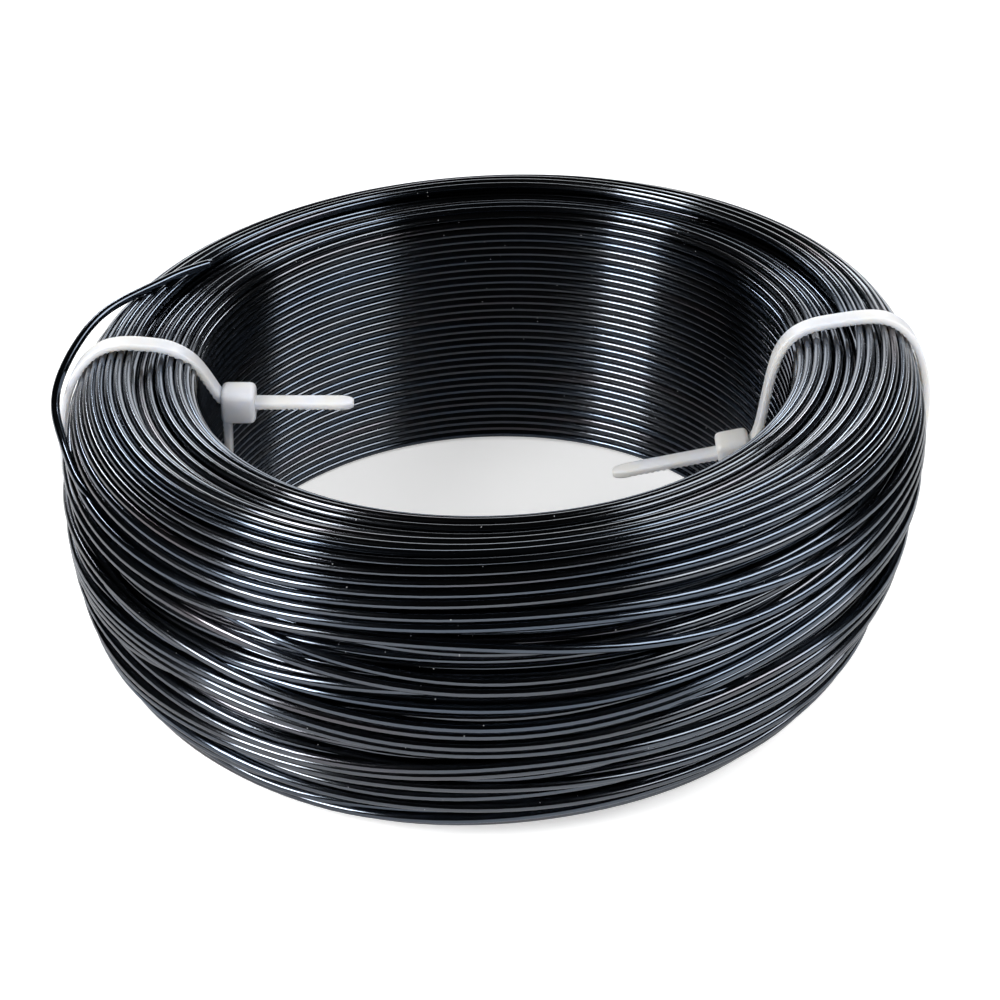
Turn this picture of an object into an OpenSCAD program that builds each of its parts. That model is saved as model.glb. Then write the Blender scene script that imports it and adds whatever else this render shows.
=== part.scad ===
// A coil of anodised aluminium wire, held by two nylon cable ties.
// The coil lies flat: its bore stands along Z and the origin is the middle of its base.

/* [Wire] */
// Diameter of the wire
wire_d = 1.2; // [1:0.1:2]
// Largest distance between the middles of two neighbouring turns
turn_pitch = 1.17; // [0.9:0.01:1.95]
// Depth by which the lowest turns are pressed flat where the coil rests
base_flat = 0.1; // [0.05:0.01:0.2]

/* [Coil] */
// Radius of the bore, to the innermost turns
bore_r = 40; // [30:0.5:60]
// Distance from the bore wall out to the crest, which is the highest circle of turns
crest_in = 10.6; // [7:0.1:16]
// Distance from the crest out to the widest turn
crest_out = 8; // [5:0.1:12]
// Distance from the widest turn in to the outer edge of the base
base_in = 8.8; // [4:0.1:11]
// Height of the widest turn
bulge_h = 25.8; // [20:0.1:40]
// Height from the widest turn up to the crest
crest_rise = 16.1; // [12:0.1:24]
// Drop from the crest to the top of the bore wall
inner_drop = 3.8; // [2:0.1:6]

/* [Cable ties] */
// Width of the strap
strap_w = 2.5; // [1.8:0.1:4]
// Thickness of the strap
strap_t = 1.1; // [0.8:0.05:1.5]
// Clearance between a strap and the turns it holds
tie_gap = 0.2; // [0.1:0.05:0.4]
// Height of the head, along the strap it is moulded on
head_h = 4.7; // [3.5:0.1:7]
// Width of the head
head_w = 4.6; // [4.4:0.1:7]
// Depth of the head, which the tail runs through
head_d = 4.6; // [3:0.1:7]
// Chamfer on the head's edges
head_chamfer = 0.6; // [0.3:0.1:0.9]
// Distance that the head stands off the bore wall
head_off = 3.4; // [2.5:0.1:8]
// Length of a tail's tapered tip
tip_l = 3; // [1:0.1:5]
// Width at the end of the tip
tip_w = 1.3; // [0.8:0.1:1.6]

/* [Left tie] */
// Direction of the left tie from the bore's axis, in degrees
left_angle = 180; // [175:1:185]
// Height of its head
left_head_z = 32.6; // [28:0.1:34]
// Length of its tail beyond the head
left_tail = 13.3; // [6:0.1:18]
// Droop of its head and tail, in degrees
left_droop = 3; // [0:1:15]

/* [Right tie] */
// Direction of the right tie from the bore's axis, in degrees
right_angle = -2; // [-12:1:10]
// Height of its head
right_head_z = 22; // [16:0.1:30]
// Length of its tail beyond the head
right_tail = 15.4; // [6:0.1:18]
// Droop of its head and tail, in degrees
right_droop = 10; // [0:1:15]

/* [Loose end of the wire] */
// Angle between the left tie and the place where the end leaves the turns
end_lead = 14; // [10:1:20]
// Angle between the left tie and the cut of the end, on the far side
end_reach = 29.4; // [24:0.2:40]
// Height of the crest above the place where the end leaves the turns
end_start_drop = 7.5; // [6:0.1:9]
// Height of the crest above the place where the end crosses the left tie
end_cross_drop = 4.2; // [3.5:0.1:5]
// Clearance between the end and the strap it crosses
end_clear = 0.6; // [0.4:0.1:1]
// Height of the cut end's middle above the crest
end_lift = 1; // [0.9:0.1:2]
// Distance of the cut end inside the crest circle
end_in = 4.4; // [2:0.1:6]
// Turn of the end's own arc that is buried in the coil, in degrees
end_buried = 14; // [12:1:20]

/* [Hidden] */
wire_r = wire_d / 2;
crest_r = bore_r + crest_in;
bulge_r = crest_r + crest_out;
base_r = bulge_r - base_in;
crest_z = bulge_h + crest_rise;
rim_z = crest_z - inner_drop;
// Points on each quarter of the outline, and sides of the coil in a preview
quarter_steps = 12;
coil_steps = 180;
// Corners of a bead, in degrees round the wire from the side that shows
bead_corners = [-45, -15, 15, 45];
// Room that a cutter needs past the surfaces it cuts
past = 1;

// A quarter of an ellipse about [r, z], from one angle to another, without its last point
function quarter(r, z, a, b, from, to, steps) =
    [for (k = [0:steps - 1]) let (t = from + (to - from) * k / steps) [r + a * cos(t), z + b * sin(t)]];

// The outline of the wound section in [r, z], moved inwards by inset: up the bore wall,
// over the crest, down the outside and back along the base
function outline(inset, steps = quarter_steps) = concat(
    [[bore_r + inset, inset - base_flat]],
    quarter(crest_r, rim_z, crest_in - inset, inner_drop - inset, 180, 90, steps),
    quarter(crest_r, bulge_h, crest_out - inset, crest_rise - inset, 90, 0, steps),
    quarter(base_r, bulge_h, base_in - inset, bulge_h + base_flat - inset, 0, -90, steps),
    [[base_r, inset - base_flat]]);

// Distance along a closed line of points, up to each of its points and back to the first
function distances(line) =
    [for (k = 0, s = 0; k <= len(line);
          s = s + norm(line[(k + 1) % len(line)] - line[k % len(line)]), k = k + 1) s];

// Points at one equal spacing, of pitch or just under it, along a closed line
function spaced(line, pitch) =
    let (s = distances(line), n = len(line), count = ceil(s[n] / pitch))
    let (along_r = [for (k = [0:n]) [s[k], line[k % n].x]])
    let (along_z = [for (k = [0:n]) [s[k], line[k % n].y]])
    [for (k = [0:count - 1]) let (d = s[n] * k / count) [lookup(d, along_r), lookup(d, along_z)]];

// How far point b stands out of the straight line from a to c, on a line that runs clockwise
function bend(a, b, c) = (b.x - a.x) * (c.y - b.y) - (b.y - a.y) * (c.x - b.x);

// A clockwise line pulled taut: the points that it would not touch are dropped
function taut(line) =
    let (n = len(line))
    let (kept = [for (k = [0:n - 1]) if (bend(line[(k + n - 1) % n], line[k], line[(k + 1) % n]) < -0.0001) line[k]])
    len(kept) == n ? line : taut(kept);

// Direction out of a clockwise line's side from a to b
function side_out(a, b) = [-(b - a).y, (b - a).x] / norm(b - a);

// A clockwise line moved outwards by t, with its corners kept sharp
function grown(line, t) =
    let (n = len(line))
    [for (k = [0:n - 1])
        let (m = side_out(line[(k + n - 1) % n], line[k]), p = side_out(line[k], line[(k + 1) % n]))
        line[k] + t * (m + p) / (1 + m * p)];

// Where a strap's head takes it in, on the head's outer face
function mouth(head_z) = [bore_r - head_off + tie_gap, head_z];

// Radius of the outline's foot at a height below the widest turn
function foot_r(z, inset) =
    base_r + (base_in - inset) * sqrt(1 - pow((bulge_h - z) / (bulge_h + base_flat - inset), 2));

// The inner face of a tie's strap, taut round the turns and through the head's mouth. Under
// the coil it lies flat, a strap's thickness above the floor
function strap_line(head_z) =
    taut(concat([[bore_r - tie_gap, strap_t], mouth(head_z)],
                [for (p = outline(-tie_gap)) if (p.y > strap_t) p],
                [[foot_r(strap_t, -tie_gap), strap_t]]));

// Radius of the outside of the coil at a height above its widest turn
function outside_r(z) = crest_r + crest_out * sqrt(1 - pow((z - bulge_h) / crest_rise, 2));

function polar(r, angle, z) = [r * cos(angle), r * sin(angle), z];

// The side of a turn that shows, as flats that touch the round wire, and the groove after it
function bead(before, middle, after) =
    let (out = side_out(before, after), along = [out.y, -out.x])
    let (half = norm(after - middle) / 2)
    let (groove = (middle + after) / 2 + side_out(middle, after) * sqrt(max(0, wire_r * wire_r - half * half)))
    concat([for (a = bead_corners) middle + wire_r / cos(bead_corners[2]) * (cos(a) * out + sin(a) * along)],
           [groove]);

// The wound turns: one turned solid, with a bead for each turn that shows
module turns() {
    middles = spaced(outline(wire_r, 8 * quarter_steps), turn_pitch);
    n = len(middles);
    rotate_extrude($fn = coil_steps)
        polygon([for (k = [0:n - 1]) each bead(middles[(k + n - 1) % n], middles[k], middles[(k + 1) % n])]);
}

// Where a strap runs under the coil, the turns above it are pressed up by its thickness
module strap_bed(angle) {
    bed_w = strap_w + 2 * tie_gap;
    rotate(angle)
        translate([bore_r - past, -bed_w / 2, -past])
            cube([bulge_r - bore_r, bed_w, strap_t + tie_gap + past]);
}

// The loose end: an arc through three points, from inside the turns, over the left tie's
// strap and back above the crest
module loose_end() {
    start_z = crest_z - end_start_drop;
    cross_z = crest_z - end_cross_drop;
    // Radial distance that one unit of height square to the outside takes up, at the crossing
    slant = norm([1, tan(asin(1 - end_cross_drop / crest_rise)) * crest_out / crest_rise]);
    strap_out = (tie_gap + strap_t + end_clear + wire_r) * slant;
    a = polar(outside_r(start_z) - wire_r / 2, left_angle + end_lead, start_z);
    b = polar(outside_r(cross_z) + strap_out, left_angle, cross_z);
    c = polar(crest_r - end_in, left_angle - end_reach, crest_z + end_lift);
    ab = b - a;
    ac = c - a;
    normal = cross(ab, ac);
    centre = a + (cross(normal, ab) * (ac * ac) + cross(ac, normal) * (ab * ab)) / (2 * normal * normal);
    radius = norm(a - centre);
    w = normal / norm(normal);
    u = (a - centre) / radius;
    v = cross(w, u);
    sweep = atan2((c - centre) * v, (c - centre) * u);
    multmatrix([[u.x, v.x, w.x, centre.x], [u.y, v.y, w.y, centre.y], [u.z, v.z, w.z, centre.z], [0, 0, 0, 1]])
        rotate(-end_buried)
            rotate_extrude(angle = sweep + end_buried, $fn = coil_steps)
                translate([radius, 0]) circle(d = wire_d, $fn = 24);
}

module wire_coil() {
    color([0.09, 0.09, 0.1])
        difference() {
            union() {
                turns();
                loose_end();
            }
            strap_bed(left_angle);
            strap_bed(right_angle);
            translate([0, 0, -past]) cylinder(r = bulge_r, h = past);
        }
}

// The strap as a taut ring round the turns, seen along the coil
module strap_ring(head_z) {
    rotate([90, 0, 0])
        linear_extrude(strap_w, center = true)
            difference() {
                polygon(grown(strap_line(head_z), strap_t));
                polygon(strap_line(head_z));
            }
}

// A block with its long edges chamfered, from its outer face inwards along -X
module head_block() {
    y = head_w / 2;
    z = head_h / 2;
    translate([-head_d, 0, 0])
        rotate([90, 0, 90])
            linear_extrude(head_d)
                polygon([[-y + head_chamfer, -z], [y - head_chamfer, -z], [y, -z + head_chamfer],
                         [y, z - head_chamfer], [y - head_chamfer, z], [-y + head_chamfer, z],
                         [-y, z - head_chamfer], [-y, -z + head_chamfer]]);
}

// The strap's free end, out of the head to its tapered tip
module tail(length) {
    translate([-head_d - length, 0, -strap_t / 2])
        linear_extrude(strap_t)
            polygon([[0, -tip_w / 2], [tip_l, -strap_w / 2], [length + head_d / 2, -strap_w / 2],
                     [length + head_d / 2, strap_w / 2], [tip_l, strap_w / 2], [0, tip_w / 2]]);
}

// One moulded tie, closed round the coil
module cable_tie(angle, head_z, tail_l, droop) {
    rotate(angle) {
        strap_ring(head_z);
        translate([bore_r - head_off, 0, head_z])
            rotate([0, -droop, 0]) {
                head_block();
                tail(tail_l);
            }
    }
}

module tie_left() {
    color([0.93, 0.93, 0.91]) cable_tie(left_angle, left_head_z, left_tail, left_droop);
}

module tie_right() {
    color([0.93, 0.93, 0.91]) cable_tie(right_angle, right_head_z, right_tail, right_droop);
}

wire_coil();
tie_left();
tie_right();
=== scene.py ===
import bpy, math, time
import numpy as np
from mathutils import Matrix, Vector


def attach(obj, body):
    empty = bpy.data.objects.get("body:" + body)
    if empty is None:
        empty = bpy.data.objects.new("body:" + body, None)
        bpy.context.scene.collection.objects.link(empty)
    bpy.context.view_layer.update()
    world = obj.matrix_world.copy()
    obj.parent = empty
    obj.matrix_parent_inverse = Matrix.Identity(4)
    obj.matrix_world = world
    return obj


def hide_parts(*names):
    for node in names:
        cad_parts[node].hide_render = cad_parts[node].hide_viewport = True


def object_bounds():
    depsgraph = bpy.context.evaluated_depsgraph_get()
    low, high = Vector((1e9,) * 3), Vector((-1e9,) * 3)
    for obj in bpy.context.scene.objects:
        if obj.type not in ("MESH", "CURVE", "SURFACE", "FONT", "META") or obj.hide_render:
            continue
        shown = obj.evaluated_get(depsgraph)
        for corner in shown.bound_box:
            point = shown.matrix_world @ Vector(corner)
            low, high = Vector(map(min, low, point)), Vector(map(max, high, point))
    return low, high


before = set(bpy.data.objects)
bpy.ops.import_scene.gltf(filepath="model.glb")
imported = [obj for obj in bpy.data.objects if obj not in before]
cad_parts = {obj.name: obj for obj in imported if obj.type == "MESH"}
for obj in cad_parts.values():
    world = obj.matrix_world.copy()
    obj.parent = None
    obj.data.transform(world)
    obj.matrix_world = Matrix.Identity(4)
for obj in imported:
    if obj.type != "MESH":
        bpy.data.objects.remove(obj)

mm = 0.001                      # the winding and the ties are worked out in millimetres
cadBox = [list(corner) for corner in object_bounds()]
begun = time.time()


def report(stage):
    print(f"{stage}, {time.time() - begun:.1f} s")


def nodeCorners(name):
    # the corners of a CAD node, in millimetres
    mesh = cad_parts[name].data
    flat = np.empty(len(mesh.vertices) * 3)
    mesh.vertices.foreach_get("co", flat)
    return flat.reshape(-1, 3) / mm


def smoothNoise(rng, count, reach):
    # random values along a strand that change over about reach samples, one in size
    kernel = np.exp(-0.5 * (np.arange(-3 * reach, 3 * reach + 1) / reach) ** 2)
    values = np.convolve(rng.standard_normal(count + 6 * reach), kernel, "valid")
    return values / values.std()


def ramp(x, low, high):
    # from 0 at low to 1 at high, with soft ends
    t = np.clip((x - low) / (high - low), 0, 1)
    return t * t * (3 - 2 * t)


def unit(v):
    return v / np.linalg.norm(v, axis=-1, keepdims=True)


def lengths(line):
    # distance along a line, up to each of its points
    return np.concatenate([[0], np.cumsum(np.linalg.norm(np.diff(line, axis=0), axis=1))])


def resample(line, count):
    far = lengths(line)
    steps = np.linspace(0, far[-1], count)
    return np.stack([np.interp(steps, far, line[:, k]) for k in range(line.shape[1])], -1)


def soften(line, rounds, share=0.25):
    # evens out a line in place, with its ends where they are
    for again in range(rounds):
        line[1:-1] += share * (line[:-2] + line[2:] - 2 * line[1:-1])


def hullOf(points):
    # convex outline, anticlockwise
    points = points[np.lexsort((points[:, 1], points[:, 0]))]
    sides = []
    for run in (points, points[::-1]):
        line = []
        for p in run:
            while len(line) > 1:
                a, b = line[-1] - line[-2], p - line[-1]
                if a[0] * b[1] - a[1] * b[0] > 1e-9:
                    break
                line.pop()
            line.append(p)
        sides += line[:-1]
    return np.array(sides)


def curveThrough(points, count):
    # a smooth curve through a few points, each given by several numbers
    points = np.asarray(points, float)
    slope = np.gradient(points, axis=0)
    t = np.linspace(0, len(points) - 1, count)
    k = np.minimum(t.astype(int), len(points) - 2)
    f = (t - k)[:, None]
    return ((2 * f ** 3 - 3 * f ** 2 + 1) * points[k] + (f ** 3 - 2 * f ** 2 + f) * slope[k]
            + (3 * f ** 2 - 2 * f ** 3) * points[k + 1] + (f ** 3 - f ** 2) * slope[k + 1])


# Millimetres and degrees. A distance round the outline is counted from the foot of the bore wall, up the
# wall, over the crest and down the outside.
coil = {
    "wire": 1.2,                # diameter of the wire
    "rings": 144,               # rings of the mesh in one turn
    "corners": 12,              # of the wire's section, and of the deep turns' section
    "deepCorners": 8,
    "startAngle": -2.3,         # the strands start and end under the right strap
    "height": 41.872,           # of the crest
    "baseShift": (-2.1, 0.55),  # how far to the side the middle of the turns lies at the base
    "topShift": (1.089, -0.429),    # and at the crest
    "freeSector": (-120, -60),  # where neither tie nor loose end changes the section
    "outlineSteps": 720,
    "wallPitch": 1.21,          # on the bore wall the turns lie wire against wire
    "wallStart": 0.35,          # distance of the first turn
    "topPitch": 1.4,            # of the outer strand over the top
    "overCrest": 2.5,           # how far past the crest that strand goes on, towards the bore
    "drift": (0.05, 0.45, 0.55),    # share of it on the bore wall, added on top and added outside
    "drawnIn": 0.5,             # share of the drift lost near the outer foot
    "bunch": (6, 18),           # width of the bunches that neighbouring turns gather in
    "boreTurns": 34,            # turns of the first strand that make a piece of their own
    "seed": 11,
}
# The wire's loose end: the height at which it leaves the turns, the share of its last turn that still lies
# on the coil, the angle into that turn at which it lifts off, and its way from there as (angle, radius,
# height).
loose = {
    "height": 34.4,
    "turn": 0.582,
    "lift": 150,
    "way": [
        (204, 57.1, 34.3), (197, 57.3, 34.2), (191, 57.8, 34.5), (185, 58.9, 35.9), (179.5, 58.8, 37.7),
        (172, 57.1, 40.2), (166, 55.1, 41.4), (160, 50.9, 42.4), (155, 49.2, 42.5), (149.5, 46.8, 42.5),
    ],
    "past": 0.5,                # how far the turn it leaves would have gone on
    "steps": 60,
    "ease": 30,                 # rings before the lift that are evened out with it
    "soften": (6, 0.3),         # rounds and strength of that
}
# Each strand's pitch and depth, how far its turns drift by themselves and with their neighbours, how far
# they dip, the number of rings over which that changes, and how far short of the outline's end it stays.
layers = {
    "first": {"pitch": 1.42, "depth": 2.3, "own": 1.3, "shared": 1.2, "dip": 0.2, "reach": 9, "short": 3.65},
    "beneath": {"pitch": 1.4, "depth": 3.5, "own": 0.5, "shared": 0.8, "dip": 0.1, "reach": 12, "short": 9},
    "spread": {"pitch": 2.8, "depth": 1.1, "own": 2.2, "shared": 1.5, "dip": 0.3, "reach": 8, "short": 10},
    "outer": {"pitch": 2.8, "depth": 0.62, "own": 2.2, "shared": 1.5, "dip": 0.12, "reach": 8, "short": 12},
}
beneathStart = 5                # distance past the bore wall's top at which the strand beneath begins
settling = {
    "rounds": 120,
    "lastRounds": 12,           # rounds at the end without any pull
    "pull": 0.05,               # share of the way back to its place that a turn moves in a round
    "spacing": 1.01,            # wires between the middles of two turns before they are pushed apart
    "near": 1.5,                # wires between turns that can meet
    "soften": 2,                # times that the turns are evened out after a round
    "softenLast": 3,            # in the last rounds only after every third
    "arch": (3, 10),            # degrees from a tie within which the bridge over its strap falls away
}
wireR = coil["wire"] / 2


def footOf(line):
    # which point of an outline is the corner where the bore wall meets the base
    return np.argmin(line[:, 0] + 5 * line[:, 1])


def readSection():
    # the outline in (radius, height): its flat sides, and a smooth line up the bore wall and round
    verts = nodeCorners("wire_coil")
    angle = np.degrees(np.arctan2(verts[:, 1], verts[:, 0]))
    low, high = coil["freeSector"]
    kept = verts[(angle > low) & (angle < high)]
    flat = np.stack([np.hypot(kept[:, 0], kept[:, 1]), kept[:, 2]], -1).round(3)
    hull = hullOf(np.unique(flat, axis=0))
    edge = np.roll(hull, -1, 0) - hull
    out = unit(np.stack([edge[:, 1], -edge[:, 0]], -1))
    closed = np.roll(hull[::-1], footOf(hull) + 1, 0)
    closed = np.vstack([closed, closed[:1]])
    line = resample(closed, coil["outlineSteps"] + 1)[:-1]
    across = 4                                          # steps on both sides that a direction is taken over
    along = unit(np.roll(line, -across, 0) - np.roll(line, across, 0))
    normal = np.stack([-along[:, 1], along[:, 0]], -1)
    steps = np.linspace(0, lengths(closed)[-1], coil["outlineSteps"] + 1)
    return {"out": out, "offset": (out * hull).sum(1), "length": steps[-1], "steps": steps,
            "line": np.vstack([line, line[:1]]), "normal": np.vstack([normal, normal[:1]])}


section = readSection()


def place(s, depth):
    # the point at a distance s round the outline and a depth under it
    s = np.mod(s, section["length"])
    at = [np.interp(s, section["steps"], section["line"][:, k]) for k in (0, 1)]
    out = [np.interp(s, section["steps"], section["normal"][:, k]) for k in (0, 1)]
    return np.stack([at[k] - out[k] * depth for k in (0, 1)], -1)


def standOut(points):
    # how far points stand out of the outline, and which way is out there
    gap = points @ section["out"].T - section["offset"]
    nearest = gap.argmax(-1)
    return np.take_along_axis(gap, nearest[..., None], -1)[..., 0], section["out"][nearest]


wallEdge = 0.35                 # how far the wall has curved away where it counts as the top
length = section["length"]
wallTop = section["steps"][np.argmax(section["line"][:, 0] > section["line"][:, 0].min() + wallEdge)]
crest = section["steps"][np.argmax(section["line"][:, 1])]
beyond = section["steps"] > crest
looseAt = section["steps"][beyond][np.argmax(section["line"][beyond, 1] < loose["height"])]
report(f"section {length:.1f} mm round, wall {wallTop:.1f}, crest {crest:.1f}, loose end at {looseAt:.1f}")
zones = {                       # where a change round the outline begins and ends
    "leaveWall": (wallTop + 2, wallTop + 8),
    "meetFoot": (length - 15, length - 9),
    "freeTop": (wallTop + 2, crest + 3),
    "freeOutside": (looseAt - 4, looseAt + 6),
    "heldFoot": (length - 18, length - 10),
    "coreTop": (wallTop - 2, wallTop + 6),
    "coreFoot": (length - 16, length - 8),
}


def swells(rng, s, around, size):
    # sideways drift that neighbouring turns share, so that they bunch and leave gaps
    total = np.zeros_like(s)
    spread = 2.2                                        # of the sum of all the waves
    for waves in (1, 2, 3, 4):
        for again in range(3):
            width = rng.uniform(*coil["bunch"])
            total += np.cos(waves * around + 2 * math.pi * s / width + rng.uniform(0, 6.28)) / waves ** 0.5
    return total * size / spread


def slack(s):
    # how freely the turns wander: hardly on the bore wall, some on the top and most on the outside
    wall, top, outside = coil["drift"]
    more = top * ramp(s, *zones["freeTop"]) + outside * ramp(s, *zones["freeOutside"])
    return wall + more * (1 - coil["drawnIn"] * ramp(s, *zones["heldFoot"]))


def layTurns(rng, turns, layer, route, depth):
    # one strand: where each turn should lie, as distance round the outline and depth
    rings = coil["rings"]
    turn = np.arange(turns * rings) / rings
    s = route(turn)
    wander = smoothNoise(rng, len(s), layer["reach"]) * layer["own"]
    wander += swells(rng, s, -2 * math.pi * turn, layer["shared"])
    dip = smoothNoise(rng, len(s), layer["reach"]) * layer["dip"] * slack(s)
    s = s + wander * slack(s)
    return s.reshape(turns, rings), (depth(s) + dip).reshape(turns, rings)


def layStrands(rng):
    first, beneath, spread, outer = layers.values()
    firstEnd, beneathEnd, spreadFoot, outerFoot = [length - layer["short"] for layer in layers.values()]
    firstStart, outerEnd = coil["wallStart"], crest - coil["overCrest"]
    wallTurns = wallTop / coil["wallPitch"]
    firstTurns = round(wallTurns + (firstEnd - firstStart - wallTop) / first["pitch"])
    beneathTurns = round((beneathEnd - beneathStart - wallTop) / beneath["pitch"])
    spreadTurns = round((spreadFoot - looseAt) / spread["pitch"])
    outsideTurns = (outerFoot - looseAt) / outer["pitch"]
    outerTurns = round(outsideTurns + (looseAt - outerEnd) / coil["topPitch"])

    def firstDepth(s):
        away = ramp(s, *zones["leaveWall"]) * (1 - ramp(s, *zones["meetFoot"]))
        return wireR + (first["depth"] - wireR) * away

    def evenDepth(layer):
        return lambda s: np.full(len(s), layer["depth"])

    def firstRoute(turn):
        return np.interp(turn, [0, wallTurns, firstTurns], [firstStart, wallTop + firstStart, firstEnd])

    def beneathRoute(turn):
        return wallTop + beneathStart + beneath["pitch"] * turn

    def spreadRoute(turn):
        leaves = spreadTurns - 1 + loose["turn"]
        return np.interp(turn, [0, leaves, spreadTurns], [spreadFoot, looseAt, looseAt - loose["past"]])

    def outerRoute(turn):
        return np.interp(turn, [0, outsideTurns, outerTurns], [outerFoot, looseAt, outerEnd])

    return [
        layTurns(rng, firstTurns, first, firstRoute, firstDepth),
        layTurns(rng, beneathTurns, beneath, beneathRoute, evenDepth(beneath)),
        layTurns(rng, spreadTurns, spread, spreadRoute, evenDepth(spread)),
        layTurns(rng, outerTurns, outer, outerRoute, evenDepth(outer)),
    ]


def keepOrder(s, spacing):
    # turns of one layer pass nowhere through each other
    rank = np.argsort(s.mean(1))
    up, down = s[rank].copy(), s[rank].copy()
    for k in range(1, len(up)):
        up[k] = np.maximum(up[k], up[k - 1] + spacing)
        down[-k - 1] = np.minimum(down[-k - 1], down[-k] - spacing)
    ordered = np.empty_like(s)
    ordered[rank] = (up + down) / 2
    return ordered


def turnAngle(ring):
    # degrees; seen from above the turns run clockwise
    return coil["startAngle"] - 360 * np.asarray(ring) / coil["rings"]


def strapArch():
    # 1 where a tie's strap runs under the coil, 0 away from it
    angle = turnAngle(np.arange(coil["rings"]))
    away = [np.abs((angle - ties[side]["angle"] + 180) % 360 - 180) for side in ("left", "right")]
    return 1 - ramp(np.minimum(*away), *settling["arch"])


def settleTurns():
    # pushes the turns apart until each lies beside or on its neighbours, inside the outline
    laid = layStrands(np.random.default_rng(coil["seed"]))
    rings, d = coil["rings"], coil["wire"]
    counts = [len(s) for s, depth in laid]
    starts = np.cumsum([0] + counts)
    level = np.repeat([1, 0, 2, 3], counts)             # which strand lies over which, 0 deepest
    s = np.vstack([keepOrder(s, d * settling["spacing"]) for s, depth in laid])
    goal = place(s, np.vstack([depth for s, depth in laid]))
    spots = goal.copy()
    pair = np.array(np.triu_indices(len(s), 1))
    pair = pair[:, np.abs(s[pair[0]] - s[pair[1]]).min(1) < settling["near"] * d]
    beside = pair[:, level[pair[0]] == level[pair[1]]]
    over = pair[:, np.abs(level[pair[0]] - level[pair[1]]) == 1]
    over = np.where(level[over[0]] < level[over[1]], over, over[::-1])      # the lower turn comes first
    apart = np.zeros((len(s), beside.shape[1]), np.float32)
    apart[beside[0], np.arange(beside.shape[1])] = 0.5
    apart[beside[1], np.arange(beside.shape[1])] = -0.5
    floor = wireR + (ties["thick"] + 2 * ties["gap"]) * strapArch()
    for k in range(settling["rounds"]):
        last = k >= settling["rounds"] - settling["lastRounds"]
        if not last:
            spots += settling["pull"] * (goal - spots)
        gap = spots[beside[0]] - spots[beside[1]]
        far = np.sqrt((gap ** 2).sum(-1)) + 1e-9
        push = (np.maximum(d - far, 0) / far)[..., None] * gap
        spots += (apart @ push.reshape(len(push), -1).astype(np.float32)).reshape(spots.shape)
        out, way = standOut(spots)
        gap = spots[over[1]] - spots[over[0]]
        rise = (gap * way[over[1]]).sum(-1)
        across = (gap ** 2).sum(-1) - rise ** 2
        lift = np.maximum(np.sqrt(np.maximum(d * d - across, 0)) - rise, 0)
        up = np.minimum(0.5 * lift, np.maximum(-wireR - out[over[1]], 0))
        height, sink = np.zeros_like(out), np.zeros_like(out)
        np.maximum.at(height, over[1], up)
        np.maximum.at(sink, over[0], lift - up)
        spots += (height - sink)[..., None] * way
        out, way = standOut(spots)
        spots -= np.maximum(out + wireR, 0)[..., None] * way
        spots[..., 1] = np.maximum(spots[..., 1], floor)
        if not last or k % settling["softenLast"] == 0:
            for a, b in zip(starts, starts[1:]):
                strand = spots[a:b].reshape(-1, 2)
                soften(strand, settling["soften"])
                spots[a:b] = strand.reshape(b - a, rings, 2)
    report(f"turns settled, {', '.join(str(n) for n in counts)} in the four strands")
    return [spots[a:b] for a, b in zip(starts, starts[1:])]


ties = {
    "width": 2.5,
    "thick": 1.1,
    "gap": 0.1,                 # between a strap and the turns
    "edge": 0.22,               # rounding of a strap's edges
    "tooth": (0.8, 0.17),       # pitch and depth of the teeth on a strap's inner side
    "steep": 0.35,              # share of a tooth's pitch that its steep flank takes up
    "step": 0.2,                # between the rings of the mesh
    "soften": 60,               # times that a strap's middle line is evened out
    "head": (4.6, 4.6, 4.7),    # along the tail, across it and high
    # the head's ends are rounded in steps of (distance from the end, inset)
    "rounding": [(0, 0.6), (0.06, 0.4), (0.2, 0.2), (0.45, 0.06), (0.8, 0)],
    "corner": 1,                # radius of the head's long corners
    "passage": (1.2, 0, -2),    # points of the straight line through the head, outwards from its middle
    # the openings at the head's ends: room round the strap, corner radius, depth, and a lip that widens
    "window": {"room": (0.5, 0.4), "corner": 0.2, "deep": 0.9, "lip": 0.05, "flare": 1.06},
    "tip": 2.4,                 # length of the tail's taper
    "tipEdge": 0.6,             # how far before and past its start the teeth fade out
    "tipNarrow": 0.8,           # share of the width's square that is lost at the tip
    "tipEnd": (-0.6, 0.9),      # distances from the tip between which the thickness grows
    "tipThin": 0.55,            # share of the thickness that it grows from
    "waist": 20,                # height that parts a strap's way under the coil from its way over it
    "join": (1, 1.5),           # how far outside the given routes the taut line begins, below and above
    "boxGap": 0.02,             # kept to the CAD box
    # routes as (radius, height): the bore side from the head down, and the way back over the top
    "left": {
        "angle": 180, "head": (34.3, 32.6), "droop": 3, "tail": 18.7,
        "down": [(36.2, 31.6), (36.25, 28.3), (36.6, 24.5), (38.6, 12), (40.6, 2.4), (41.1, 0.55)],
        "over": [(46.8, 42.4), (42.6, 41.65), (39.9, 39.75), (38.4, 37.2), (37.2, 34.6), (36.7, 33.2)],
    },
    "right": {
        "angle": -2, "head": (33.4, 22.2), "droop": 11, "tail": 16.6,
        "down": [(35.2, 21), (35.3, 18), (36, 12), (37.1, 2.4), (37.5, 0.55)],
        "over": [(49.2, 42.4), (43.3, 41.5), (40.7, 40.2), (39.1, 37.9), (38.3, 35), (37.6, 30.8),
                 (36.9, 26.2), (36.2, 23.4)],
    },
}
strands = settleTurns()


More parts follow.
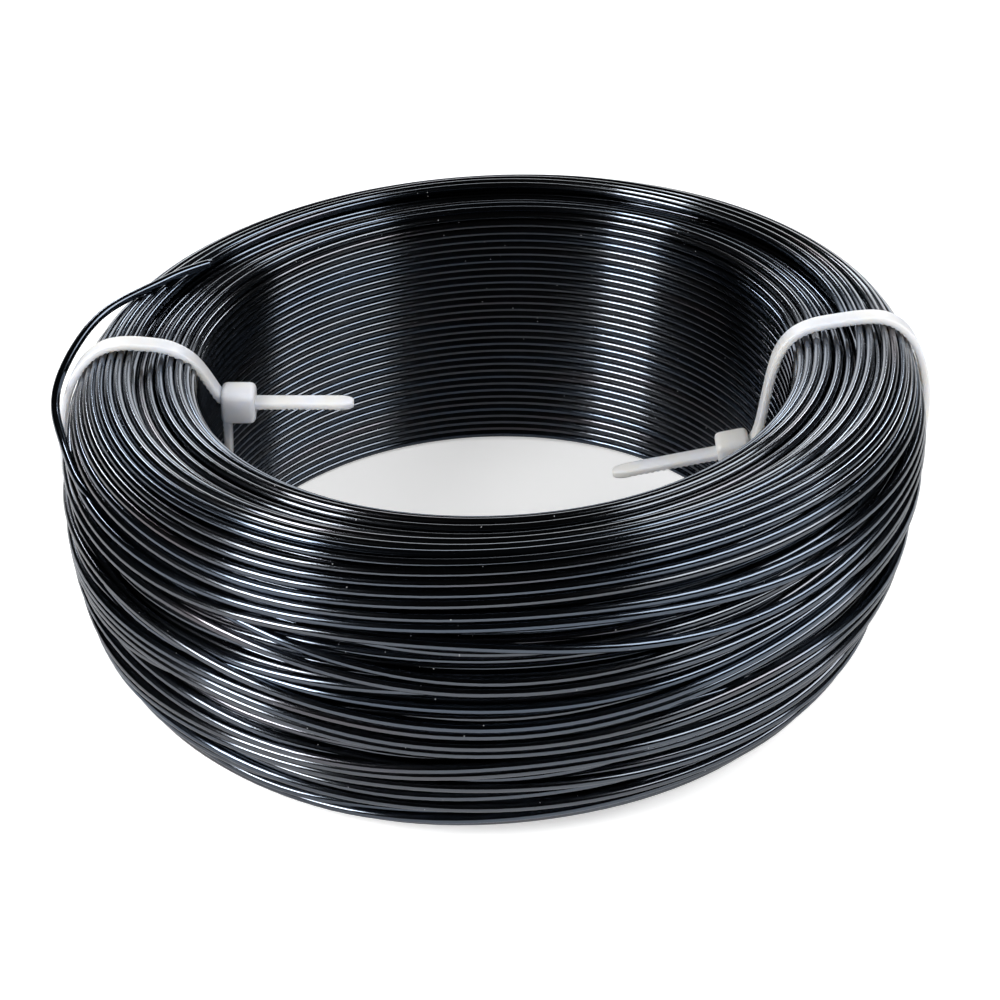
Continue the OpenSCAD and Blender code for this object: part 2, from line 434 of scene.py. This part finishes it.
def addMesh(name, points, quads, caps=(), uv=None):
    # points in millimetres, quads and caps as rows of corners, uv one pair for each corner of each quad
    mesh = bpy.data.meshes.new(name)
    sizes = [4] * len(quads) + [len(cap) for cap in caps]
    corners = np.concatenate([np.asarray(quads).ravel()] + [np.asarray(cap) for cap in caps])
    mesh.vertices.add(len(points))
    mesh.vertices.foreach_set("co", (np.asarray(points) * mm).ravel())
    mesh.loops.add(len(corners))
    mesh.loops.foreach_set("vertex_index", corners.astype(np.int32))
    mesh.polygons.add(len(sizes))
    mesh.polygons.foreach_set("loop_start", np.cumsum([0] + sizes[:-1]).astype(np.int32))
    mesh.update(calc_edges=True)
    mesh.polygons.foreach_set("use_smooth", [size == 4 for size in sizes])
    if uv is not None:
        layer = mesh.uv_layers.new(name="along")
        pairs = np.zeros((len(corners), 2))
        pairs[:len(uv)] = uv
        layer.data.foreach_set("uv", pairs.ravel())
    mesh.validate()
    thing = bpy.data.objects.new(name, mesh)
    bpy.context.scene.collection.objects.link(thing)
    return thing


def sweep(name, path, profile, first, second):
    # profile, an array (rings, corners, 2), carried along path in the directions first and second
    rings, corners = profile.shape[:2]
    points = path[:, None] + profile[..., :1] * first + profile[..., 1:] * second
    ring = np.arange(rings - 1)[:, None] * corners
    corner = np.arange(corners)[None]
    after = (corner + 1) % corners
    quads = np.stack([ring + corner, ring + after, ring + corners + after, ring + corners + corner], -1)
    far = lengths(path) * mm
    u = np.broadcast_to(np.stack([far[:-1], far[:-1], far[1:], far[1:]], -1)[:, None], quads.shape)
    v = np.stack([corner[0], corner[0] + 1, corner[0] + 1, corner[0]], -1) / corners
    uv = np.stack([u, np.broadcast_to(v, quads.shape)], -1).reshape(-1, 2)
    caps = [np.arange(corners)[::-1], (rings - 1) * corners + np.arange(corners)]
    return addMesh(name, points.reshape(-1, 3), quads.reshape(-1, 4), caps, uv)


def sweepTurning(name, path, profile, side):
    # the same with a section that turns with the path, its first direction as near to side as it can be
    along = unit(np.gradient(path, axis=0))
    first = unit(side - (side * along).sum(-1, keepdims=True) * along)
    return sweep(name, path, profile, first[:, None], np.cross(along, first)[:, None])


def leanAt(height):
    # the turns stand a little askew: how far their middle lies to the side at a height
    share = np.asarray(height)[..., None] / coil["height"]
    return np.array(coil["baseShift"]) * (1 - share) + np.array(coil["topShift"]) * share


def stand(radius, angle, height):
    # from radius, angle in degrees and height to a point of the leaning coil
    turn = np.radians(angle)
    shift = leanAt(height)
    spots = [radius * np.cos(turn) + shift[..., 0], radius * np.sin(turn) + shift[..., 1], height]
    return np.stack(np.broadcast_arrays(*spots), -1)


def wireTube(name, path, corners=coil["corners"]):
    low, high = np.array(cadBox) / mm
    path = np.clip(path, low + wireR, high - wireR)
    turn = np.arange(corners) * 2 * math.pi / corners
    circle = np.stack([np.cos(turn), np.sin(turn)], -1) * wireR
    profile = np.broadcast_to(circle, (len(path), corners, 2))
    return sweepTurning(name, path, profile, unit(path * [1, 1, 0]))


def strandPath(spots):
    flat = spots.reshape(-1, 2)
    return stand(flat[:, 0], turnAngle(np.arange(len(flat))), flat[:, 1])


def buildWire():
    firstLayer, beneath, spread, outer = [strandPath(spots) for spots in strands]
    rings = coil["rings"]
    leave = (len(strands[2]) - 1) * rings + round(rings * loose["lift"] / 360)
    free = curveThrough(loose["way"], loose["steps"])
    spread = np.vstack([spread[:leave], stand(free[:, 1], free[:, 0], free[:, 2])])
    soften(spread[leave - loose["ease"]:], *loose["soften"])
    split = coil["boreTurns"] * rings
    return [
        wireTube("turnsOfBore", firstLayer[:split + 1]),
        wireTube("turnsOfFirstLayer", firstLayer[split:]),
        wireTube("turnsBeneath", beneath, coil["deepCorners"]),
        wireTube("turnsAndLooseEnd", spread),
        wireTube("turnsOutside", outer),
    ]


wirePieces = buildWire()
report("wire built")


inner = {
    "depths": (1.7, 4.6),       # under the outline, at the bore wall and elsewhere
    "sections": 96,
    "corners": 120,             # of each section
    "smudged": (0.3, 0.7),      # from where to where in the smudges the roughness changes
    "roughness": (0.18, 0.28),
}


def coreDepth(s):
    # how far under the outline the hidden middle of the coil begins
    thin, thick = inner["depths"]
    inside = ramp(s, *zones["coreTop"]) * (1 - ramp(s, *zones["coreFoot"]))
    return thin + (thick - thin) * inside


def buildCore():
    # what lies under the turns that show: one closed ring
    count, side = inner["sections"], inner["corners"]
    steps = np.linspace(0, length, side + 1)[:-1]
    outline = place(steps, coreDepth(steps))
    turn = turnAngle(np.arange(count) * coil["rings"] / count)
    points = stand(outline[None, :, 0], turn[:, None], outline[None, :, 1])
    a = (np.arange(count) * side)[:, None]
    b = (np.roll(np.arange(count), -1) * side)[:, None]
    k = np.arange(side)[None]
    after = (k + 1) % side
    quads = np.stack([a + k, a + after, b + after, b + k], -1)
    s = np.stack([k[0], k[0] + 1, k[0] + 1, k[0]], -1) * length / side
    share = np.arange(count)[:, None] / count + np.array([0, 0, 1, 1]) / count
    uv = np.stack([np.broadcast_to(share[:, None], quads.shape), np.broadcast_to(s, quads.shape)], -1)
    return addMesh("turnsInside", points.reshape(-1, 3), quads.reshape(-1, 4), (), uv.reshape(-1, 2))


core = buildCore()


def roundedCorners(wide, high, radius, steps=3):
    # corners of a rectangle with rounded corners, as (across, up)
    turn = np.linspace(0, math.pi / 2, steps + 1)
    points = []
    for k, (x, y) in enumerate([(1, 1), (-1, 1), (-1, -1), (1, -1)]):
        for t in turn + k * math.pi / 2:
            points.append((x * (wide / 2 - radius) + radius * math.cos(t),
                           y * (high / 2 - radius) + radius * math.sin(t)))
    return np.array(points)


def radialFrame(angle):
    turn = math.radians(angle)
    return np.array([math.cos(turn), math.sin(turn), 0]), np.array([-math.sin(turn), math.cos(turn), 0])


def tautRound(tie):
    # a line pulled taut round all the turns under a strap, anticlockwise as (radius, height)
    away = radialFrame(tie["angle"])[0]
    rings = coil["rings"]
    ring = round((coil["startAngle"] - tie["angle"]) * rings / 360)
    spots = np.vstack([strand[:, (ring + k) % rings] for strand in strands for k in (-1, 0, 1)])
    spots[:, 0] += leanAt(spots[:, 1]) @ away[:2]
    hull = hullOf(spots)
    edge = np.roll(hull, -1, 0) - hull
    facing = np.unwrap(np.arctan2(-edge[:, 0], edge[:, 1]))
    reach = wireR + ties["gap"] + ties["thick"] / 2
    line = []
    for k, spot in enumerate(hull):
        before, after = np.unwrap([facing[k - 1], facing[k]])
        for t in np.linspace(before, after, 4):
            line.append(spot + reach * np.array([math.cos(t), math.sin(t)]))
    line = np.array(line)
    return np.roll(line, -footOf(line), 0)


def strapRoute(tie):
    # middle line of the strap as (radius, height): down the bore side from the head, under the coil,
    # up the outside, over the top and through the head to the tip of the tail
    half, waist = ties["thick"] / 2, ties["waist"]
    given = tie["down"][-1], tie["over"][0]
    underFrom, topFrom = [spot[0] + far for spot, far in zip(given, ties["join"])]
    line = tautRound(tie)
    low = line[:, 1] < waist
    line = line[(low & (line[:, 0] > underFrom)) | (~low & (line[:, 0] > topFrom))]
    line = line[:np.flatnonzero(line[:, 1] > waist)[-1] + 1]
    line[:, 1] = np.clip(line[:, 1], half, cadBox[1][2] / mm - half)
    reach = cadBox[1][0] if abs(tie["angle"]) < 90 else -cadBox[0][0]
    line[:, 0] = np.minimum(line[:, 0], reach / mm - half - ties["boxGap"])
    r, z = tie["head"]
    slope = math.tan(math.radians(tie["droop"]))
    tail = [(r + d, z + d * slope) for d in (*ties["passage"], tie["tail"] - r)]
    line = np.vstack([tie["down"], line, tie["over"], tail])
    line = resample(line, round(lengths(line)[-1] / ties["step"]))
    soften(line, ties["soften"])
    return line


def strapMesh(name, tie):
    away = radialFrame(tie["angle"])[0]
    line = strapRoute(tie)
    path = line[:, :1] * away + line[:, 1:] * np.array([0, 0, 1])
    along = np.gradient(line, axis=0)
    # the outer face is the one turned away from the coil
    side = along[:, 1:] * away - along[:, :1] * np.array([0, 0, 1])
    left = lengths(line)[-1] - lengths(line)
    corners = roundedCorners(ties["thick"], ties["width"], ties["edge"])
    profile = np.repeat(corners[None], len(line), 0)
    pitch, depth = ties["tooth"]
    steep, tip, thin = ties["steep"], ties["tip"], ties["tipThin"]
    saw = np.mod(left / pitch, 1)
    notch = depth * np.minimum(saw / steep, (1 - saw) / (1 - steep)).clip(0, 1)
    notch *= ramp(left, tip - ties["tipEdge"], tip + ties["tipEdge"])
    profile[:, corners[:, 0] < 0, 0] += notch[:, None]
    taper = np.sqrt(1 - (1 - np.clip(left / tip, 0, 1)) ** 2 * ties["tipNarrow"])
    profile[..., 1] *= taper[:, None]
    profile[..., 0] *= (thin + (1 - thin) * ramp(left, *ties["tipEnd"]))[:, None]
    return sweepTurning(name, path, profile, side)


def headMesh(name, tie):
    # the head, with a window at both ends of its passage
    away, across = radialFrame(tie["angle"])
    droop = math.radians(tie["droop"])
    inwards = -away * math.cos(droop) - np.array([0, 0, math.sin(droop)])
    deep, wide, high = ties["head"]
    window, rounding = ties["window"], ties["rounding"]
    tallRoom, wideRoom = window["room"]
    opening = roundedCorners(ties["thick"] + tallRoom, ties["width"] + wideRoom, window["corner"], 4)
    profile, spots = [], []

    def addWindow(*places):
        for spot, grown in places:
            spots.append(spot)
            profile.append(opening * grown)

    outside = rounding + [(deep - spot, inset) for spot, inset in rounding[::-1]]
    addWindow((window["deep"], 1), (window["lip"], 1), (0, window["flare"]))
    for spot, inset in outside:
        spots.append(spot)
        rounded = ties["corner"] - inset / 2
        profile.append(roundedCorners(high - 2 * inset, wide - 2 * inset, rounded, 4))
    addWindow((deep, window["flare"]), (deep - window["lip"], 1), (deep - window["deep"], 1))
    r, z = tie["head"]
    start = r * away + np.array([0, 0, z]) - inwards * deep / 2
    path = start + np.array(spots)[:, None] * inwards
    return sweep(name, path, np.array(profile), np.cross(across, inwards), across)


def buildTie(name, tie):
    parts = [strapMesh(name, tie), headMesh(name + "Head", tie)]
    with bpy.context.temp_override(active_object=parts[0], selected_editable_objects=parts):
        bpy.ops.object.join()
    return parts[0]


tieLeft = buildTie("tieLeft", ties["left"])
tieRight = buildTie("tieRight", ties["right"])
report("ties built")


def newMaterial(name):
    material = bpy.data.materials.new(name)
    material.use_nodes = True
    return material, material.node_tree, material.node_tree.nodes["Principled BSDF"]


def addNode(tree, kind, **settings):
    node = tree.nodes.new(kind)
    for name, value in settings.items():
        setattr(node, name, value)
    return node


def feed(tree, socket, value):
    # a link, or a plain number or colour
    if isinstance(value, bpy.types.NodeSocket):
        tree.links.new(value, socket)
    else:
        socket.default_value = value


def mathNode(tree, operation, *values):
    node = addNode(tree, "ShaderNodeMath", operation=operation)
    for socket, value in zip(node.inputs, values):
        feed(tree, socket, value)
    return node.outputs[0]


def rampNode(tree, value, low, high, start, end):
    node = addNode(tree, "ShaderNodeMapRange", interpolation_type="SMOOTHSTEP")
    numbers = {"Value": value, "From Min": low, "From Max": high, "To Min": start, "To Max": end}
    for name, number in numbers.items():
        feed(tree, node.inputs[name], number)
    return node.outputs["Result"]


def mixNode(tree, share, a, b, kind="RGBA"):
    node = addNode(tree, "ShaderNodeMix", data_type=kind)
    sockets = [socket for socket in node.inputs if socket.enabled]
    for socket, value in zip(sockets, (share, a, b)):
        feed(tree, socket, value)
    return [socket for socket in node.outputs if socket.enabled][0]


def noiseNode(tree, vector, scale, detail=2.0):
    node = addNode(tree, "ShaderNodeTexNoise")
    feed(tree, node.inputs["Vector"], vector)
    feed(tree, node.inputs["Scale"], scale)
    feed(tree, node.inputs["Detail"], detail)
    return node.outputs["Fac"]


def bumpNode(tree, height, depth):
    node = addNode(tree, "ShaderNodeBump")
    feed(tree, node.inputs["Height"], height)
    feed(tree, node.inputs["Distance"], depth)
    return node.outputs["Normal"]


dustLook = {
    # what a material doesn't set stays at these values
    "inputs": {"Speck Scale": 600.0, "Speck Share": 0.1, "Smudge Scale": 60.0},
    "speckEdge": (0.04, 0.1),       # from where to where in its cell a speck fades out
    "patches": (110.0, 1.0),        # scale and detail of the patches that gather more or fewer specks
    "patchEdge": (0.45, 0.65),
    "patchShare": (0.2, 3.0),       # how many specks the poorest and the richest patches get
    "smudgeDetail": 3.0,
}


def dustGroup():
    # specks of dust and slow smudges, which the wire and the nylon share
    group = bpy.data.node_groups.new("dustAndSmudges", "ShaderNodeTree")
    for name, start in dustLook["inputs"].items():
        socket = group.interface.new_socket(name, in_out="INPUT", socket_type="NodeSocketFloat")
        socket.default_value = start
    for name in ("Specks", "Smudges"):
        group.interface.new_socket(name, in_out="OUTPUT", socket_type="NodeSocketFloat")
    taken = addNode(group, "NodeGroupInput")
    given = addNode(group, "NodeGroupOutput")
    spot = addNode(group, "ShaderNodeTexCoord").outputs["Object"]
    cells = addNode(group, "ShaderNodeTexVoronoi")
    feed(group, cells.inputs["Vector"], spot)
    feed(group, cells.inputs["Scale"], taken.outputs["Speck Scale"])
    split = addNode(group, "ShaderNodeSeparateColor")
    feed(group, split.inputs["Color"], cells.outputs["Color"])
    near = rampNode(group, cells.outputs["Distance"], *dustLook["speckEdge"], 1.0, 0.0)
    patchy = noiseNode(group, spot, *dustLook["patches"])
    patches = rampNode(group, patchy, *dustLook["patchEdge"], *dustLook["patchShare"])
    share = mathNode(group, "MULTIPLY", taken.outputs["Speck Share"], patches)
    chosen = mathNode(group, "LESS_THAN", split.outputs["Red"], share)
    feed(group, given.inputs["Specks"], mathNode(group, "MULTIPLY", near, chosen))
    smudges = noiseNode(group, spot, taken.outputs["Smudge Scale"], dustLook["smudgeDetail"])
    feed(group, given.inputs["Smudges"], smudges)
    return group


dust = dustGroup()


def dustNode(tree, values):
    node = addNode(tree, "ShaderNodeGroup", node_tree=dust)
    for name, value in values.items():
        feed(tree, node.inputs[name], value)
    return node.outputs["Specks"], node.outputs["Smudges"]


wire = {
    "neutral": (0.104, 0.112, 0.126, 1),
    "bluish": (0.09, 0.109, 0.139, 1),
    "plum": (0.113, 0.106, 0.116, 1),
    "speck": (0.7, 0.71, 0.73, 1),
    "bluishPart": (7.0, 0.42, 0.6),     # changes a metre, and from where to where it shows in them
    "plumPart": (19.0, 0.55, 0.7),
    "roughness": (0.11, 0.17),      # of the smoothest and the dullest stretches
    "worn": (0.6, 0.4),             # how much the drawn lines and the smudges count in that
    "wornPart": (0.35, 0.65),
    "speckRoughness": 0.8,
    "lines": (3.0, 35.0),           # fineness of the drawn lines, round the wire and along it
    "lineDetail": 3.0,
    "drawn": 0.0000025,             # depth of the lines that the drawing die left, in metres
    "dust": {"Speck Scale": 1300.0, "Speck Share": 0.05, "Smudge Scale": 45.0},
}


def alongAndAcross(tree):
    # along a wire in metres and round it in turns; on the hidden middle round the ring in turns and across
    # the ring in millimetres
    split = addNode(tree, "ShaderNodeSeparateXYZ")
    feed(tree, split.inputs[0], addNode(tree, "ShaderNodeUVMap", uv_map="along").outputs["UV"])
    return split.outputs[0], split.outputs[1]


def wireMaterial():
    material, tree, shader = newMaterial("anodisedWire")
    along, across = alongAndAcross(tree)
    turn = mathNode(tree, "MULTIPLY", across, 2 * math.pi)
    crosswise, lengthwise = wire["lines"]
    drawn = addNode(tree, "ShaderNodeCombineXYZ")
    feed(tree, drawn.inputs["X"], mathNode(tree, "MULTIPLY", mathNode(tree, "COSINE", turn), crosswise))
    feed(tree, drawn.inputs["Y"], mathNode(tree, "MULTIPLY", mathNode(tree, "SINE", turn), crosswise))
    feed(tree, drawn.inputs["Z"], mathNode(tree, "MULTIPLY", along, lengthwise))
    lines = noiseNode(tree, drawn.outputs["Vector"], 1.0, wire["lineDetail"])
    slow = addNode(tree, "ShaderNodeCombineXYZ")
    feed(tree, slow.inputs["X"], along)
    specks, smudges = dustNode(tree, wire["dust"])
    colour = wire["neutral"]
    for other in ("bluish", "plum"):
        scale, low, high = wire[other + "Part"]
        share = rampNode(tree, noiseNode(tree, slow.outputs["Vector"], scale), low, high, 0.0, 1.0)
        colour = mixNode(tree, share, colour, wire[other])
    feed(tree, shader.inputs["Base Color"], mixNode(tree, specks, colour, wire["speck"]))
    shares = [mathNode(tree, "MULTIPLY", *pair) for pair in zip((lines, smudges), wire["worn"])]
    rough = rampNode(tree, mathNode(tree, "ADD", *shares), *wire["wornPart"], *wire["roughness"])
    rough = mixNode(tree, specks, rough, wire["speckRoughness"], "FLOAT")
    feed(tree, shader.inputs["Roughness"], rough)
    feed(tree, shader.inputs["Metallic"], mathNode(tree, "SUBTRACT", 1.0, specks))
    feed(tree, shader.inputs["Normal"], bumpNode(tree, lines, wire["drawn"]))
    return material


def coreMaterial():
    # the hidden middle is ridged like the turns that lie there
    material, tree, shader = newMaterial("innerTurns")
    turns = mathNode(tree, "MULTIPLY", alongAndAcross(tree)[1], math.pi / coil["wire"])
    ridges = mathNode(tree, "ABSOLUTE", mathNode(tree, "COSINE", turns))
    smudges = dustNode(tree, wire["dust"])[1]
    feed(tree, shader.inputs["Base Color"], mixNode(tree, smudges, wire["neutral"], wire["bluish"]))
    rough = rampNode(tree, smudges, *inner["smudged"], *inner["roughness"])
    feed(tree, shader.inputs["Roughness"], rough)
    feed(tree, shader.inputs["Normal"], bumpNode(tree, ridges, wireR * mm))
    shader.inputs["Metallic"].default_value = 1
    return material


anodised = wireMaterial()
for piece in wirePieces:
    piece.data.materials.append(anodised)
core.data.materials.append(coreMaterial())
for piece in wirePieces + [core]:
    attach(piece, "root")
    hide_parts("wire_coil")


nylon = {
    "cool": (0.7, 0.715, 0.765, 1),
    "warm": (0.725, 0.715, 0.695, 1),
    "warmPart": (0.4, 0.65),        # from where to where in the smudges it turns warm
    "speck": (0.35, 0.33, 0.3, 1),
    "roughness": (0.28, 0.42),
    "roughPart": (0.3, 0.7),
    "subsurface": (1.0, 0.0022),    # weight and scale
    "radius": (1, 0.9, 0.8),        # of each colour, as shares of the scale
    "grain": 0.00003,               # depth of the moulded surface's unevenness, in metres
    "grainNoise": (700.0, 3.0),     # its scale and detail
    "dust": {"Speck Scale": 420.0, "Speck Share": 0.03, "Smudge Scale": 150.0},
}


def nylonMaterial():
    material, tree, shader = newMaterial("whiteNylon")
    spot = addNode(tree, "ShaderNodeTexCoord").outputs["Object"]
    specks, smudges = dustNode(tree, nylon["dust"])
    warmth = rampNode(tree, smudges, *nylon["warmPart"], 0.0, 1.0)
    colour = mixNode(tree, warmth, nylon["cool"], nylon["warm"])
    feed(tree, shader.inputs["Base Color"], mixNode(tree, specks, colour, nylon["speck"]))
    rough = rampNode(tree, smudges, *nylon["roughPart"], *nylon["roughness"])
    feed(tree, shader.inputs["Roughness"], rough)
    grain = noiseNode(tree, spot, *nylon["grainNoise"])
    feed(tree, shader.inputs["Normal"], bumpNode(tree, grain, nylon["grain"]))
    weight, scale = nylon["subsurface"]
    shader.inputs["Subsurface Weight"].default_value = weight
    shader.inputs["Subsurface Scale"].default_value = scale
    shader.inputs["Subsurface Radius"].default_value = nylon["radius"]
    return material


whiteNylon = nylonMaterial()
for piece, node in ((tieLeft, "tie_left"), (tieRight, "tie_right")):
    piece.data.materials.append(whiteNylon)
    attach(piece, "root")
    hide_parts(node)
report("materials made")


studio = {
    "sweep": 2.6,               # the white sweep behind the coil
    "sweepSides": (0.75, 0.9),  # how far round to the sides it reaches
    "sweepTop": (0.4, 0.5),     # height at which it begins to darken and is dark
    "horizon": (0.05, 0.6),     # height and strength of the light band round the horizon
    "room": 0.008,              # the dark room over and in front of the coil
    "floor": (0.9, 0.9, 0.903, 1),
    "floorHalf": 2000,          # half its side, in millimetres
    "floorRoughness": 0.9,
    "lift": (0.45, 1.0),        # how much whiter the floor shows than it is lit, near and far off
    "liftFrom": (0.5, 1.3),     # the distances between which that grows
    "aim": (0, 0, 0.03),        # what the lamps point at
    # each lamp's direction, distance, sides, the direction of its second side, power, and whether the wires
    # mirror it
    "lamps": {
        "leftLamp": {"from": (-0.741, -0.35, 0.573), "far": 0.9, "size": (0.28, 0.46),
                     "along": (0.305, 0.47, 0.72), "power": 7.2, "mirrored": True},
        "rightLamp": {"from": (0.712, -0.177, 0.679), "far": 0.9, "size": (0.69, 0.42),
                      "along": (-0.461, 0.612, 0.643), "power": 5.4, "mirrored": True},
        "backLeftLamp": {"from": (-0.36, 0.73, 0.58), "far": 1.0, "size": (0.2, 0.09),
                         "along": (0, 1, 1), "power": 1.1, "mirrored": True},
        "backRightLamp": {"from": (0.36, 0.73, 0.58), "far": 1.0, "size": (0.2, 0.09),
                          "along": (0, 1, 1), "power": 1.1, "mirrored": True},
        "frontLamp": {"from": (0.05, -0.94, 0.36), "far": 1.0, "size": (0.7, 0.3),
                      "along": (0, 0, 1), "power": 4.9, "mirrored": False},
    },
    "camera": {"at": (0.0010888, -0.2327585, 0.1671535), "turn": (56.775, 2.176, -1.319), "lens": 70.84,
               "clip": 0.01},
}


def buildWorld():
    world = bpy.data.worlds.new("studio")
    bpy.context.scene.world = world
    world.use_nodes = True
    tree = world.node_tree
    split = addNode(tree, "ShaderNodeSeparateXYZ")
    feed(tree, split.inputs["Vector"], addNode(tree, "ShaderNodeTexCoord").outputs["Generated"])
    y, z = split.outputs["Y"], split.outputs["Z"]
    behind = rampNode(tree, y, *studio["sweepSides"], 0.0, 1.0)
    low = rampNode(tree, z, *studio["sweepTop"], studio["sweep"], 0.0)
    top, strength = studio["horizon"]
    horizon = rampNode(tree, z, 0.0, top, strength, studio["room"])
    light = mathNode(tree, "MAXIMUM", mathNode(tree, "MULTIPLY", behind, low), horizon)
    seen = addNode(tree, "ShaderNodeLightPath").outputs["Is Camera Ray"]
    background = tree.nodes["Background"]
    background.inputs["Color"].default_value = (1, 1, 1, 1)
    feed(tree, background.inputs["Strength"], mixNode(tree, seen, light, 1.0, "FLOAT"))


def buildFloor():
    half = studio["floorHalf"]
    corners = [(-half, -half, 0), (half, -half, 0), (half, half, 0), (-half, half, 0)]
    floor = addMesh("floor", corners, [[0, 1, 2, 3]])
    material, tree, shader = newMaterial("paleFloor")
    shader.inputs["Base Color"].default_value = studio["floor"]
    shader.inputs["Roughness"].default_value = studio["floorRoughness"]
    shader.inputs["Specular IOR Level"].default_value = 0
    shader.inputs["Emission Color"].default_value = (1, 1, 1, 1)
    away = addNode(tree, "ShaderNodeVectorMath", operation="LENGTH")
    feed(tree, away.inputs[0], addNode(tree, "ShaderNodeTexCoord").outputs["Object"])
    lift = rampNode(tree, away.outputs["Value"], *studio["liftFrom"], *studio["lift"])
    seen = addNode(tree, "ShaderNodeLightPath").outputs["Is Camera Ray"]
    feed(tree, shader.inputs["Emission Strength"], mathNode(tree, "MULTIPLY", seen, lift))
    floor.data.materials.append(material)


def buildLamps():
    for name, lamp in studio["lamps"].items():
        light = bpy.data.lights.new(name, "AREA")
        light.shape = "RECTANGLE"
        light.size, light.size_y = lamp["size"]
        light.energy = lamp["power"]
        thing = bpy.data.objects.new(name, light)
        back = Vector(lamp["from"]).normalized()
        thing.location = back * lamp["far"] + Vector(studio["aim"])
        wide = Vector(lamp["along"]).cross(back).normalized()
        thing.rotation_euler = Matrix((wide, back.cross(wide), back)).transposed().to_euler()
        thing.visible_glossy = lamp["mirrored"]
        bpy.context.scene.collection.objects.link(thing)


def buildCamera():
    view = studio["camera"]
    camera = bpy.data.cameras.new("camera")
    camera.lens = view["lens"]
    camera.clip_start = view["clip"]
    thing = bpy.data.objects.new("camera", camera)
    thing.location = view["at"]
    thing.rotation_euler = [math.radians(a) for a in view["turn"]]
    bpy.context.scene.collection.objects.link(thing)
    bpy.context.scene.camera = thing


bpy.context.scene.view_settings.view_transform = "Standard"
buildWorld()
buildFloor()
buildLamps()
buildCamera()
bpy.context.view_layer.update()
report("ready")
